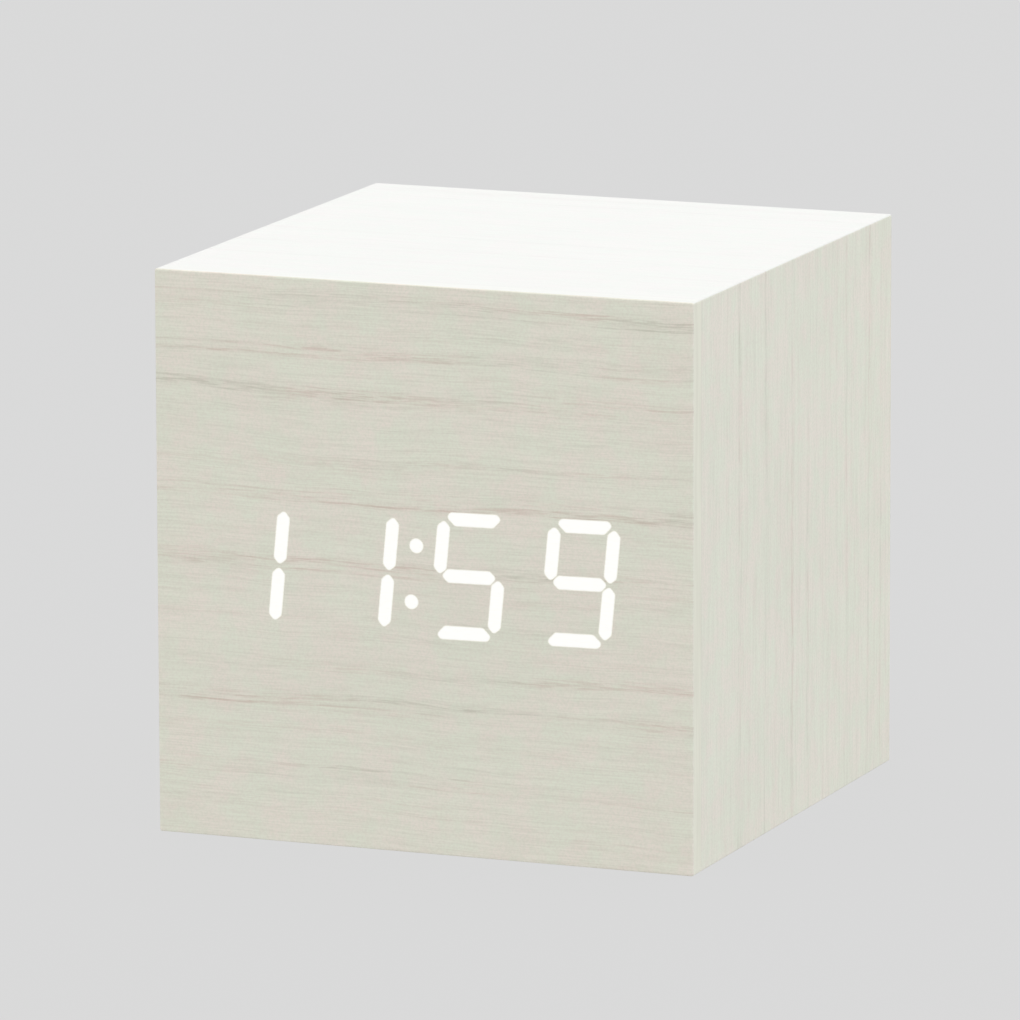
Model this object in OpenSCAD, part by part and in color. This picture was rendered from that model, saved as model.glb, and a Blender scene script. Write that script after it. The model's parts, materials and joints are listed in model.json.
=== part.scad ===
// Cube desk clock: LED digits glow through the wood-grain film of a small board-and-film case.
// Millimetres. X runs to the right, Y to the back and Z up, from the middle of the underside.

/* [Case] */
// Outside width
case_w = 60; // [60:1:84]
// Outside depth, from the front film to the back rim
case_d = 60; // [52:1:90]
// Outside height
case_h = 60; // [58:1:84]
// Thickness of the four folded wall boards
wall_t = 3.8; // [3:0.1:4.6]
// Thickness of the front, board and film together
front_t = 2.4; // [2:0.1:3]
// Thickness of the wood-grain film over the front
film_t = 0.25; // [0.15:0.05:0.4]
// Rounding of the long outside edges
edge_r = 0.2; // [0.2:0.1:1]
// Depth of the back panel behind the back rim
back_recess = 1.5; // [0.5:0.1:3]
// Side of the square blocks glued into the corners
block_s = 5.4; // [5:0.1:6]
// Length of the corner blocks
block_l = 16; // [10:1:20]

/* [Display] */
// Digit shown in each of the four places
shown = [1, 1, 5, 9]; // [0:1:9]
// Distance from one digit to the next
digit_pitch = 12.3; // [10:0.1:12.5]
// Height of a digit between the middles of its top and bottom bars
digit_h = 12; // [10:0.1:14]
// Width of a digit between the middles of its upright bars
digit_w = 6.6; // [5.5:0.1:6.8]
// Width of a bar
bar_t = 1.3; // [1:0.1:1.6]
// Cut-off corner at a bar's end
bar_cut = 0.5; // [0.2:0.01:0.6]
// How much more the top and bottom bars are cut on their inner side and less on their outer side
bar_mitre = 0.22; // [0:0.01:0.25]
// Gap between a level bar's end and the corner of the digit
level_gap = 0.45; // [0.4:0.05:0.8]
// Gap between an upright bar's end and the corner of the digit
upright_gap = 0.3; // [0.3:0.05:0.6]
// Lean of the digits to the right, in degrees
lean = 6.4; // [0:0.2:10]
// Diameter of a colon dot
dot_d = 1.4; // [1:0.1:2]
// Distance between the two colon dots
dot_pitch = 5.95; // [4:0.05:8]
// Sideways offset of the display from the middle of the front
display_x = -0.95; // [-1:0.05:1]
// Height of the display above the middle of the front
display_rise = -0.35; // [-2:0.05:2]
// How far the display sits out of level in its window, in degrees
display_tilt = 0.8; // [0:0.1:1]
// Rim of the light frame beside the digits
face_side = 0.6; // [0.4:0.1:0.8]
// Rim of the light frame above and below the digits
face_rise = 1.85; // [1:0.05:3]
// Depth of the light frame
frame_d = 7; // [5:0.5:9]
// Reach of the flange beside the light frame's face
flange_side = 0.4; // [0.2:0.1:0.6]
// Reach of the flange above and below the light frame's face
flange_lap = 4.4; // [4:0.1:6]
// Thickness of the flange
flange_t = 1.4; // [1:0.1:2]
// Thickness of the diffuser sheet
diffuser_t = 0.15; // [0.1:0.05:0.3]
// Thickness of the lens filling in each well
lens_t = 1.2; // [0.6:0.1:2]
// Thickness of the adhesive tape
tape_t = 0.4; // [0.2:0.1:0.8]

/* [Back panel] */
// Thickness of the back panel
plate_t = 2; // [1.8:0.1:2.6]
// Gap between the back panel and the walls
plate_gap = 0.2; // [0.1:0.05:0.4]
// Wall of the battery tub
tub_t = 1; // [0.8:0.1:1.1]
// Diameter of a vent hole
vent_d = 1.4; // [1:0.1:1.8]
// Distance between vent holes
vent_pitch = 2.4; // [2.2:0.1:3]

/* [Battery bay] */
// Diameter of a cell
cell_d = 10.5; // [8.5:0.1:10.7]
// Length of a cell with its button
cell_l = 44.5; // [42:0.1:44.8]
// Space left around each cell
cell_gap = 0.4; // [0.3:0.05:0.5]
// Length of a contact spring as fitted
spring_l = 3; // [2.4:0.1:3.2]
// Thickness of the contact plates
contact_t = 0.3; // [0.2:0.05:0.4]
// Thickness of the battery door
door_t = 1.5; // [1.2:0.1:1.6]
// Gap around the door
door_gap = 0.2; // [0.15:0.05:0.3]
// Overlap of the door's free edge on the tub wall
door_lap = 0.7; // [0.5:0.05:0.75]
// Radius of the door's pivot pins
pin_r = 0.6; // [0.5:0.05:0.7]
// Running clearance around the pivot pins
pin_clear = 0.05; // [0.03:0.01:0.1]
// Length of a pivot pin
pin_l = 1; // [0.7:0.1:1.2]

/* [Main board] */
// Width of the main board
board_w = 40; // [40:1:41]
// Depth of the main board
board_d = 18; // [17.5:0.5:24]
// Thickness of both circuit boards
board_t = 1.6; // [1.2:0.1:2]
// Height of the main board above the battery tub
board_lift = 1.7; // [1.2:0.1:2]
// Thickness of the cable's wires
wire_d = 0.9; // [0.7:0.05:0.95]
// Number of wires in the ribbon cable
wire_count = 8; // [4:1:9]

/* [Buttons] */
// Diameter of a button cap
button_d = 4.6; // [4:0.1:5]
// Running clearance around a button cap
button_clear = 0.1; // [0.05:0.01:0.15]
// Height of a button cap above the back panel
button_proud = 0.8; // [0.6:0.1:1.2]
// Travel of a button
button_travel = 0.5; // [0.3:0.1:0.6]
// Distance between buttons
button_pitch = 8; // [7:0.5:8.5]
// Place of the first button, from the middle
button_x = -14; // [-15:0.5:-13]

/* [Power jack] */
// Width of the jack's shell
jack_w = 7.7; // [7:0.1:7.8]
// Height of the jack's shell
jack_h = 3.95; // [3.5:0.05:4.2]
// Length of the jack's shell
jack_l = 9.2; // [8:0.1:9.2]
// Thickness of the jack's shell
jack_t = 0.4; // [0.3:0.05:0.4]
// Place of the jack, from the middle
jack_x = 12.4; // [12:0.1:12.8]

/* [Screws] */
// Outside diameter of a case screw's thread
case_screw_d = 2.2; // [2:0.1:2.6]
// Diameter of a case screw's head
case_head_d = 4.2; // [3.8:0.1:4.6]
// Length of a case screw under its head
case_screw_l = 9; // [6:0.5:12]
// Outside diameter of a board screw's thread
board_screw_d = 1.6; // [1.4:0.1:1.8]
// Diameter of a board screw's head
board_head_d = 3; // [2.6:0.1:3.2]

/* [Hidden] */
$fn = 48;

film_tone = "#d3d1c4";
fibre_tone = "#b08a63";
black_tone = "#1d1d1f";
board_tone = "#1f5c3a";
steel_tone = "#b9bcc0";
ivory_tone = "#ece9df";

// Slack that keeps a seated piece's faces off its seat
seat = 0.03;
// Facets of a rounded edge
edge_steps = 4;

// Case
front_y = -case_d / 2;
back_y = case_d / 2;
mid_z = case_h / 2;
tube_y = front_y + front_t;
inner_w = case_w - 2 * wall_t;
inner_h = case_h - 2 * wall_t;
plate_w = inner_w - 2 * plate_gap;
plate_h = inner_h - 2 * plate_gap;
plate_y1 = back_y - back_recess;
plate_y0 = plate_y1 - plate_t;
head_sink = 1.1;
head_t = 1;

// Display, measured from the front face of the film
glyphs = ["abcdef", "bc", "abged", "abgcd", "fgbc", "afgcd", "afgecd", "abc", "abcdefg", "abcfgd"];
bar_names = "abcdefg";
digit_count = len(shown);
row_w = (digit_count - 1) * digit_pitch + digit_w + bar_t + digit_h * tan(lean);
face_w = row_w + 2 * face_side;
face_h = digit_h + bar_t + 2 * face_rise;
flange_w = face_w + 2 * flange_side;
flange_h = face_h + 2 * flange_lap;
window_w = face_w + 0.3;
window_h = face_h + 0.3;
hole_gap = 0.3;
frame_y0 = film_t + diffuser_t;
frame_y1 = frame_y0 + frame_d;
flange_y0 = front_t + tape_t;
flange_y1 = flange_y0 + flange_t;
post_d = 3.6;
post_x = flange_w / 2 - post_d / 2 - 0.4;
post_z = flange_h / 2 - flange_lap / 2;
led_size = [1.6, 0.55, 0.8];
display_back_y = frame_y1 + board_t;
housing_d = 4.5;
housing_rise = 9;

// Battery tub and door
tub_z0 = wall_t + block_s + 0.4;
tub_in_z0 = tub_z0 + tub_t;
cell_pitch = cell_d + cell_gap;
tub_in_z1 = tub_in_z0 + 3 * cell_pitch;
tub_z1 = tub_in_z1 + tub_t;
tub_in_w = cell_l + 2 * contact_t + spring_l + 0.1;
tub_w = tub_in_w + 2 * tub_t;
door_y0 = plate_y1 - door_t;
cell_y = door_y0 - cell_gap / 2 - 0.1 - cell_d / 2;
tub_in_y0 = cell_y - cell_d / 2 - cell_gap / 2;
tub_y0 = tub_in_y0 - tub_t;
hinge_r = pin_r + 0.6;
hinge_y = plate_y1 - hinge_r;
hinge_z = tub_in_z1 - hinge_r - door_gap;
door_w = tub_in_w - 2 * door_gap;
door_z0 = tub_in_z0 - door_lap + door_gap;
cell_x0 = tub_in_w / 2 - contact_t;
tab_w = 3;

// Main board and what stands on it
board_z0 = tub_z1 + board_lift;
board_z1 = board_z0 + board_t;
button_z = board_z1 + 2.2;
flange_r = button_d / 2 + 0.65;
button_back = 0.05;
board_y1 = plate_y0 - 1.9;
board_y0 = board_y1 - board_d;
switch_y1 = board_y1 - 0.2;
switch_size = [6, 3.5, 4.2];
pad_y = plate_y0 - 1.2;
plunger_d = 2;
plunger_clear = 0.08;
plunger_hold = 1.2;
housing_size = [wire_count + 2, 5, 3.2];
mouth_gap = 0.18;
plug_in = 1.4;
board_screw_x = board_w / 2 - 1.7;
board_screw_y = [board_y1 - 5.2, board_y1 - 2.6];
jack_y1 = plate_y1 - 0.2;
jack_y0 = jack_y1 - jack_l;
tongue_y0 = jack_y0 + jack_t + 2;
tongue_size = [4.2, jack_y1 - 1.6 - tongue_y0, 0.9];
lead_d = 1;

// Points of an arc, in even steps
function arc(x, y, r, from, to, steps) = [
    for (i = [0:steps]) let (a = from + (to - from) * i / steps) [x + r * cos(a), y + r * sin(a)]
];

// Whether a bar is lit when its place shows this digit
function is_lit(digit, bar) = len(search(bar, glyphs[digit])) > 0;

// A point's lean at a height above the middle of the digit
function leaned(x, z) = [x + z * tan(lean), z];

// Middle of each bar of a digit, in the order of bar_names
function bar_middle(i) = [
    leaned(0, digit_h / 2), leaned(digit_w / 2, digit_h / 4), leaned(digit_w / 2, -digit_h / 4),
    leaned(0, -digit_h / 2), leaned(-digit_w / 2, -digit_h / 4), leaned(-digit_w / 2, digit_h / 4),
    leaned(0, 0)
][i];

function unit(v) = v / norm(v);

// A route with its corners rounded: a curve from the middle of each leg to the middle of the next
function rounded(route, steps) = concat(
    [route[0]],
    [
        for (i = [1:len(route) - 2]) let (
            a = (route[i - 1] + route[i]) / 2,
            b = (route[i] + route[i + 1]) / 2
        )
        for (k = [0:steps]) let (t = k / steps)
            if (k < steps || i == len(route) - 2)
                (1 - t) * (1 - t) * a + 2 * t * (1 - t) * route[i] + t * t * b
    ],
    [route[len(route) - 1]]
);

// Direction of travel at a point of a path
function heading(path, i) = unit(path[min(i + 1, len(path) - 1)] - path[max(i - 1, 0)]);

// Round wire swept along a path; across is never parallel to the path
module wire(path, d, sides, across) {
    rings = len(path);
    points = [
        for (i = [0:rings - 1]) let (
            t = heading(path, i),
            u = unit(cross(t, across)),
            v = cross(t, u)
        )
        for (k = [0:sides - 1]) let (a = 360 * k / sides) path[i] + d / 2 * (cos(a) * u + sin(a) * v)
    ];
    sides_faces = [
        for (i = [0:rings - 2]) for (k = [0:sides - 1]) let (n = (k + 1) % sides) each [
            [i * sides + k, i * sides + n, (i + 1) * sides + n],
            [i * sides + k, (i + 1) * sides + n, (i + 1) * sides + k]
        ]
    ];
    ends = [
        [for (k = [sides - 1:-1:0]) k],
        [for (k = [0:sides - 1]) (rings - 1) * sides + k]
    ];
    polyhedron(points, concat(sides_faces, ends));
}

// A box between two opposite corners
module block(low, high) {
    translate(low) cube(high - low);
}

// An outline drawn in X and Z, made solid between two depths
module along_y(y0, y1) {
    translate([0, y1, 0]) rotate([90, 0, 0]) linear_extrude(y1 - y0) children();
}

// An outline drawn in Y and Z, made solid between two places across
module along_x(x0, x1) {
    translate([x0, 0, 0]) rotate([90, 0, 90]) linear_extrude(x1 - x0) children();
}

// A round bar that points to the back
module rod_y(y0, y1, d) {
    along_y(y0, y1) circle(d = d);
}

// A rectangle around the middle with rounded corners
module panel(w, h, r) {
    x = w / 2 - r;
    z = h / 2 - r;
    polygon(concat(
        arc(x, z, r, 0, 90, edge_steps), arc(-x, z, r, 90, 180, edge_steps),
        arc(-x, -z, r, 180, 270, edge_steps), arc(x, -z, r, 270, 360, edge_steps)
    ));
}

// Places the children at the four case screws
module at_case_screws() {
    for (sx = [-1, 1], sz = [-1, 1])
        translate([sx * (inner_w - block_s) / 2, 0, mid_z + sz * (inner_h - block_s) / 2]) children();
}

// Places the children in the display's own frame, leaning out of level with it
module at_display() {
    translate([display_x, front_y, mid_z + display_rise]) rotate([0, -display_tilt, 0]) children();
}

// Places the children at the four display screws, in the display's frame
module at_display_screws() {
    for (sx = [-1, 1], sz = [-1, 1]) translate([sx * post_x, 0, sz * post_z]) children();
}

// Places the children at the two board screws
module at_board_screws() {
    for (i = [0, 1]) translate([(2 * i - 1) * board_screw_x, board_screw_y[i], 0]) children();
}

// A pan-headed screw that points down, with a cross recess, its head seated at the origin
module pan_screw(d, head_d, length, head) {
    slot = head_d * 0.55;
    difference() {
        union() {
            cylinder(d = head_d, h = head);
            translate([0, 0, -length]) cylinder(d = d, h = length);
        }
        for (turn = [0, 90]) rotate([0, 0, turn])
            block([-slot / 2, -head_d * 0.07, head * 0.35], [slot / 2, head_d * 0.07, head + 1]);
    }
}

// A chip body on legs, standing on z = 0: size of the body, legs a side and their pitch
module chip(size, legs, pitch) {
    lift = 0.2;
    leg_w = pitch * 0.35;
    leg_t = 0.2;
    knee = 0.6;
    toe = 1.3;
    z = size.z / 2;
    block([-size.x / 2, -size.y / 2, lift], [size.x / 2, size.y / 2, size.z]);
    for (i = [0:legs - 1], turn = [0, 180]) rotate([0, 0, turn])
        translate([(i - (legs - 1) / 2) * pitch, size.y / 2, 0]) along_x(-leg_w / 2, leg_w / 2) polygon([
            [-0.1, z], [knee - leg_t, z], [knee - leg_t, 0], [toe, 0],
            [toe, leg_t], [knee, leg_t], [knee, z + leg_t], [-0.1, z + leg_t]
        ]);
}

// A wall's outline: mitred at both ends, rounded where it meets its neighbours
module wall_outline(across, reach) {
    x = across / 2 - edge_r;
    z = reach / 2 - edge_r;
    polygon(concat(
        [[across / 2 - wall_t, reach / 2 - wall_t]],
        arc(x, z, edge_r, 45, 90, edge_steps),
        arc(-x, z, edge_r, 90, 135, edge_steps),
        [[-across / 2 + wall_t, reach / 2 - wall_t]]
    ));
}

// A wall board, turned from the top around to its side of the case
module wall(turn, across, reach) {
    translate([0, 0, mid_z]) rotate([0, turn, 0]) along_y(tube_y, back_y) wall_outline(across, reach);
}

module wall_top() {
    color(film_tone) wall(0, case_w, case_h);
}

module wall_bottom() {
    color(film_tone) wall(180, case_w, case_h);
}

module wall_left() {
    color(film_tone) wall(-90, case_h, case_w);
}

module wall_right() {
    color(film_tone) wall(90, case_h, case_w);
}

module corner_blocks() {
    color(fibre_tone) at_case_screws() difference() {
        block([-block_s / 2, plate_y0 - block_l, -block_s / 2], [block_s / 2, plate_y0, block_s / 2]);
        rod_y(plate_y0 - case_screw_l, plate_y0 + 1, case_screw_d + 2 * seat);
    }
}

module front_board() {
    color(fibre_tone) difference() {
        translate([0, 0, mid_z]) along_y(front_y + film_t, tube_y) panel(case_w, case_h, edge_r);
        at_display() along_y(0, front_t + 1) square([window_w, window_h], center = true);
    }
}

module front_film() {
    color(film_tone) translate([0, 0, mid_z]) along_y(front_y, front_y + film_t)
        panel(case_w, case_h, edge_r);
}

// One bar with its corners cut off, lying level around the middle; mitre shifts its tips to the upper side
module bar(length, trim, mitre) {
    x = length / 2 - trim;
    z = bar_t / 2 - trim;
    over = bar_cut - mitre;
    under = bar_cut + mitre;
    polygon([
        [x, z - over], [x - over, z], [-x + over, z], [-x, z - over],
        [-x, -z + under], [-x + under, -z], [x - under, -z], [x, -z + under]
    ]);
}

// Outlines of the bars and colon dots that are lit, dark or all, each smaller by trim all round
module bars(which, trim = 0) {
    for (place = [0:digit_count - 1], i = [0:len(bar_names) - 1]) {
        name = bar_names[i];
        outer = name == "a" || name == "d";
        level = outer || name == "g";
        lit = is_lit(shown[place], name);
        if (which == "all" || lit == (which == "lit"))
            translate(bar_middle(i) + [(place - (digit_count - 1) / 2) * digit_pitch, 0])
                rotate(name == "d" ? 180 : level ? 0 : 90 - lean) bar(
                    level ? digit_w - 2 * level_gap : digit_h / 2 - 2 * upright_gap,
                    trim,
                    outer ? bar_mitre : 0
                );
    }
    if (which != "dark")
        for (side = [-1, 1]) translate(leaned(0, side * dot_pitch / 2)) circle(d = dot_d - 2 * trim);
}

module diffuser_sheet() {
    color(ivory_tone) at_display() along_y(film_t, frame_y0) square([face_w, face_h], center = true);
}

module light_frame() {
    color("white") at_display() difference() {
        union() {
            along_y(frame_y0, frame_y1) square([face_w, face_h], center = true);
            along_y(flange_y0, flange_y1) square([flange_w, flange_h], center = true);
            at_display_screws() rod_y(flange_y0, frame_y1, post_d);
        }
        along_y(frame_y0 - 1, frame_y1 + 1) bars("all");
        at_display_screws() rod_y(flange_y1, frame_y1 + 1, board_screw_d + 2 * seat);
    }
}

// Clear resin at the mouth of the wells of one kind
module lenses(which) {
    at_display() along_y(frame_y0, frame_y0 + lens_t) bars(which, seat);
}

module lit_lenses() {
    color("white") lenses("lit");
}

module dark_lenses() {
    color(ivory_tone) lenses("dark");
}

module tape_ring() {
    color(ivory_tone) at_display() along_y(front_t, flange_y0) difference() {
        square([flange_w, flange_h], center = true);
        square([window_w, window_h], center = true);
    }
}

module display_board() {
    color(board_tone) at_display() difference() {
        along_y(frame_y1, display_back_y) square([flange_w, flange_h], center = true);
        at_display_screws() rod_y(frame_y1 - 1, display_back_y + 1, board_screw_d + 2 * seat);
    }
}

module segment_leds() {
    color("khaki") at_display() for (place = [0:digit_count - 1], i = [0:len(bar_names) - 1]) {
        middle = bar_middle(i) + [(place - (digit_count - 1) / 2) * digit_pitch, 0];
        tall = bar_names[i] != "a" && bar_names[i] != "d" && bar_names[i] != "g";
        translate([middle.x, frame_y1 - led_size.y / 2, middle.y]) rotate([0, tall ? lean - 90 : 0, 0])
            cube(led_size, center = true);
    }
    color("khaki") at_display() for (side = [-1, 1]) {
        middle = leaned(0, side * dot_pitch / 2);
        translate([middle.x, 0, middle.y]) rod_y(frame_y1 - led_size.y, frame_y1, led_size.z);
    }
}

module driver_chip() {
    color(black_tone) at_display() translate([0, display_back_y, -4]) rotate([-90, 0, 0])
        chip([9.9, 3.9, 1.6], 8, 1.27);
}

// A housing for the ribbon cable, mouth to the back, seated at the origin
module ribbon_housing(depth) {
    half = [housing_size.x, housing_size.z] / 2;
    mouth = [housing_size.x / 2 - 0.7, wire_d / 2 + mouth_gap];
    difference() {
        block([-half.x, 0, -half.y], [half.x, depth, half.y]);
        block([-mouth.x, depth - plug_in - seat, -mouth.y], [mouth.x, depth + 1, mouth.y]);
    }
}

module display_connector() {
    color(ivory_tone) at_display() translate([0, display_back_y, housing_rise]) ribbon_housing(housing_d);
}

module display_screws() {
    color(steel_tone) at_display() at_display_screws() translate([0, display_back_y, 0])
        rotate([-90, 0, 0]) pan_screw(board_screw_d, board_head_d, board_t + 3.2, 0.9);
}

// Side view of the ribbon: level out of each housing, one bend up and one bend back
ribbon_z0 = mid_z + display_rise + housing_rise;
ribbon_z1 = board_z1 + housing_size.z / 2;
ribbon_y0 = front_y + display_back_y + housing_d - plug_in;
ribbon_y1 = board_y0 + plug_in;
ribbon_bend = 3;
ribbon_mid_y = (ribbon_y0 + ribbon_y1) / 2;

// One edge of the ribbon's side view, this far above its middle line
function ribbon_edge(off) = concat(
    [[ribbon_y0, ribbon_z0 + off]],
    arc(ribbon_mid_y - ribbon_bend, ribbon_z0 + ribbon_bend, ribbon_bend - off, 270, 360, 8),
    arc(ribbon_mid_y + ribbon_bend, ribbon_z1 - ribbon_bend, ribbon_bend + off, 180, 90, 8),
    [[ribbon_y1, ribbon_z1 + off]]
);

// A strip of the ribbon's side view, as thick as given
module ribbon_strip(thick) {
    under = ribbon_edge(-thick / 2);
    polygon(concat(ribbon_edge(thick / 2), [for (i = [len(under) - 1:-1:0]) under[i]]));
}

module ribbon_cable() {
    wire_pitch = 1;
    web_w = (wire_count - 1) * wire_pitch;
    web_t = wire_d * 0.4;
    wire_w = wire_d * 0.84;
    color("lightgray") translate([display_x, 0, 0]) {
        along_x(-web_w / 2, web_w / 2) ribbon_strip(web_t);
        for (i = [0:wire_count - 1]) translate([i * wire_pitch - web_w / 2, 0, 0])
            along_x(-wire_w / 2, wire_w / 2) ribbon_strip(wire_d);
    }
}

// The battery tub's outside, its board posts and its board brackets
module tub_body() {
    bracket_t = 1.2;
    bracket_reach = 5;
    block([-tub_w / 2, tub_y0, tub_z0], [tub_w / 2, plate_y1, tub_z1]);
    at_board_screws() translate([0, 0, tub_z1]) cylinder(d = 3.4, h = board_lift);
    for (side = [-1, 1]) translate([side * (board_screw_x - 2), 0, 0])
        along_x(-bracket_t / 2, bracket_t / 2) polygon([
            [tub_y0 + 1, board_z0], [tub_y0 - bracket_reach, board_z0],
            [tub_y0 - bracket_reach, board_z0 - 1.5], [tub_y0, board_z0 - bracket_reach - 3],
            [tub_y0 + 1, board_z0 - bracket_reach - 3]
        ]);
}

// The door's opening: the side view of the door, larger by its gap, and the pivot bores
module door_opening() {
    along_x(-tub_in_w / 2, tub_in_w / 2) polygon([
        [door_y0 - 0.1, tub_in_z0 - door_lap], [plate_y1 + 1, tub_in_z0 - door_lap],
        [plate_y1 + 1, tub_in_z1], [door_y0 - 0.1, tub_in_z1]
    ]);
    bore_w = door_w + 2 * pin_l + 2 * door_gap;
    translate([0, hinge_y, hinge_z]) along_x(-bore_w / 2, bore_w / 2) circle(r = pin_r + pin_clear);
}

// Holes in the back panel for screws, buttons, jack, vents and finger
module panel_holes() {
    at_case_screws() {
        rod_y(plate_y0 - 1, plate_y1 + 1, case_screw_d + hole_gap);
        rod_y(plate_y1 - head_sink, plate_y1 + 1, case_head_d + hole_gap);
    }
    for (i = [0:2]) translate([button_x + i * button_pitch, 0, button_z])
        rod_y(plate_y0 - 1, plate_y1 + 1, button_d + 2 * button_clear);
    translate([jack_x, 0, board_z1]) along_y(plate_y0 - 1, plate_y1 + 1)
        translate([0, jack_h / 2]) square([jack_w, jack_h] + 2 * [hole_gap, hole_gap], center = true);
    vent_count = 5;
    vent_z = wall_t + block_s / 2 + 0.3;
    vent_x = inner_w / 4 - (vent_count - 1) / 2 * vent_pitch;
    for (i = [0:vent_count - 1]) translate([vent_x + i * vent_pitch, 0, vent_z])
        rod_y(plate_y0 - 1, plate_y1 + 1, vent_d);
    scoop_r = 9;
    scoop_depth = 1.2;
    translate([0, plate_y1 + scoop_r - scoop_depth, door_z0]) sphere(r = scoop_r);
}

// Slots in the tub's floor where the end contacts' tabs come through
module tab_slots() {
    half = [contact_t, tab_w] / 2 + [seat, seat];
    for (side = [-1, 1]) translate([side * (cell_x0 + contact_t / 2), 0, cell_z(side < 0 ? 2 : 0)])
        block([-half.x, tub_y0 - 1, -half.y], [half.x, tub_in_y0 + 1, half.y]);
}

module back_panel() {
    color(black_tone) difference() {
        union() {
            translate([0, 0, mid_z]) along_y(plate_y0, plate_y1) panel(plate_w, plate_h, 0.5);
            tub_body();
        }
        block([-tub_in_w / 2, tub_in_y0, tub_in_z0], [tub_in_w / 2, plate_y1 + 1, tub_in_z1]);
        door_opening();
        panel_holes();
        tab_slots();
        at_board_screws() translate([0, 0, tub_z1 - 0.7])
            cylinder(d = board_screw_d + 2 * seat, h = board_lift + 2);
    }
}

module case_screws() {
    color(steel_tone) at_case_screws() translate([0, plate_y1 - head_sink, 0]) rotate([-90, 0, 0])
        pan_screw(case_screw_d, case_head_d, case_screw_l - plate_t + head_sink, head_t);
}

// The door: a flat leaf under a half-round hinge edge, with a pivot pin at each end
module battery_door() {
    door_soft = 0.25;
    grips = 4;
    grip_w = 10;
    grip_t = 0.6;
    grip_depth = 0.3;
    color(black_tone) difference() {
        union() {
            along_x(-door_w / 2, door_w / 2) polygon(concat(
                [[door_y0, door_z0], [plate_y1 - door_soft, door_z0], [plate_y1, door_z0 + door_soft]],
                arc(hinge_y, hinge_z, hinge_r, 0, 180, 12),
                [[hinge_y - hinge_r, hinge_z - 0.4], [door_y0, hinge_z - hinge_r - 0.6]]
            ));
            translate([0, hinge_y, hinge_z]) along_x(-door_w / 2 - pin_l, door_w / 2 + pin_l)
                circle(r = pin_r);
        }
        for (i = [0:grips - 1]) translate([0, plate_y1, door_z0 + 2 + 2 * i * grip_t])
            block([-grip_w / 2, -grip_depth, 0], [grip_w / 2, 1, grip_t]);
    }
}

// Height of a cell's middle: 0 is the lowest
function cell_z(i) = tub_in_z0 + (i + 0.5) * cell_pitch;

// A cell along X whose button points to the right (1) or the left (-1)
module cell(i, way) {
    button_l = 0.9;
    button_r = 1.9;
    can_r = cell_d / 2;
    color("teal") translate([-way * (cell_x0 - spring_l), cell_y, cell_z(i)]) rotate([0, way * 90, 0])
        rotate_extrude() polygon([
            [0, 0], [can_r - 1.3, 0], [can_r - 1.3, 0.3], [can_r - 0.4, 0.3], [can_r, 0.7],
            [can_r, cell_l - button_l - 0.6], [can_r - 0.5, cell_l - button_l - 0.1],
            [button_r + 1.2, cell_l - button_l - 0.1], [button_r + 0.5, cell_l - button_l],
            [button_r, cell_l - button_l], [button_r, cell_l - 0.2], [button_r - 0.2, cell_l], [0, cell_l]
        ]);
}

module cell_top() {
    cell(2, 1);
}

module cell_middle() {
    cell(1, -1);
}

module cell_bottom() {
    cell(0, 1);
}

// Conical springs that press on the flat end of each cell
module contact_springs() {
    wire_r = 0.3;
    turns = 3;
    steps = 14; // in a turn
    wide = 3.4;
    narrow = 1.7;
    run = spring_l - 2 * wire_r - 2 * seat;
    for (i = [0:2]) {
        side = i == 1 ? 1 : -1;
        path = [
            for (k = [0:turns * steps]) let (
                s = k / (turns * steps),
                r = wide + (narrow - wide) * s,
                a = s * turns * 360
            )
                [side * (cell_x0 - wire_r - seat - run * s), cell_y + r * cos(a), cell_z(i) + r * sin(a)]
        ];
        color(steel_tone) wire(path, 2 * wire_r, 6, [1, 0, 0]);
    }
}

// A flat contact against an end wall of the tub, from one cell to another
module contact(side, low, high) {
    half = cell_d / 2 - 1;
    x = side * (cell_x0 + contact_t / 2);
    translate([x, 0, 0]) block(
        [-contact_t / 2 + seat, cell_y - half, cell_z(low) - half],
        [contact_t / 2 - seat, cell_y + half, cell_z(high) + half]
    );
}

module contact_plates() {
    color(steel_tone) {
        contact(-1, 2, 2);
        contact(-1, 0, 1);
        contact(1, 1, 2);
        contact(1, 0, 0);
        for (side = [-1, 1]) translate([side * (cell_x0 + contact_t / 2), 0, cell_z(side < 0 ? 2 : 0)]) {
            half_t = contact_t / 2 - seat;
            block([-half_t, tub_y0 - 1.5, -tab_w / 2], [half_t, cell_y, tab_w / 2]);
        }
    }
}

// Wire from an end contact's tab, up in front of the tub, to the battery connector
module lead(side, low) {
    plug = [battery_plug_x + side * 1.25, board_y0 + 0.6, board_z1 + 2];
    tab = [side * (cell_x0 - lead_d / 2 - 0.05), tub_y0 - 0.8, cell_z(low)];
    drop = plug.y - 4.5;
    route = [
        tab, tab + [-side * 2, -1.5, 1], [side * (board_w / 2 - 2), tub_y0 - 4.5, cell_z(low) + 2],
        [battery_plug_x + side * 5, drop + 1, board_z0 - 7], [plug.x, drop, board_z0 - 2],
        [plug.x, drop, plug.z], plug
    ];
    wire(rounded(route, 4), lead_d, 8, [1, 0.45, -0.35]);
}

module lead_red() {
    color("firebrick") lead(1, 0);
}

module lead_black() {
    color(black_tone) lead(-1, 2);
}

module main_board() {
    color(board_tone) difference() {
        block([-board_w / 2, board_y0, board_z0], [board_w / 2, board_y1, board_z1]);
        at_board_screws() translate([0, 0, board_z0 - 1])
            cylinder(d = board_screw_d + 2 * seat, h = board_t + 2);
    }
}

module board_screws() {
    color(steel_tone) at_board_screws() translate([0, 0, board_z1])
        pan_screw(board_screw_d, board_head_d, board_t + board_lift + 0.5, 0.9);
}

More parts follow.
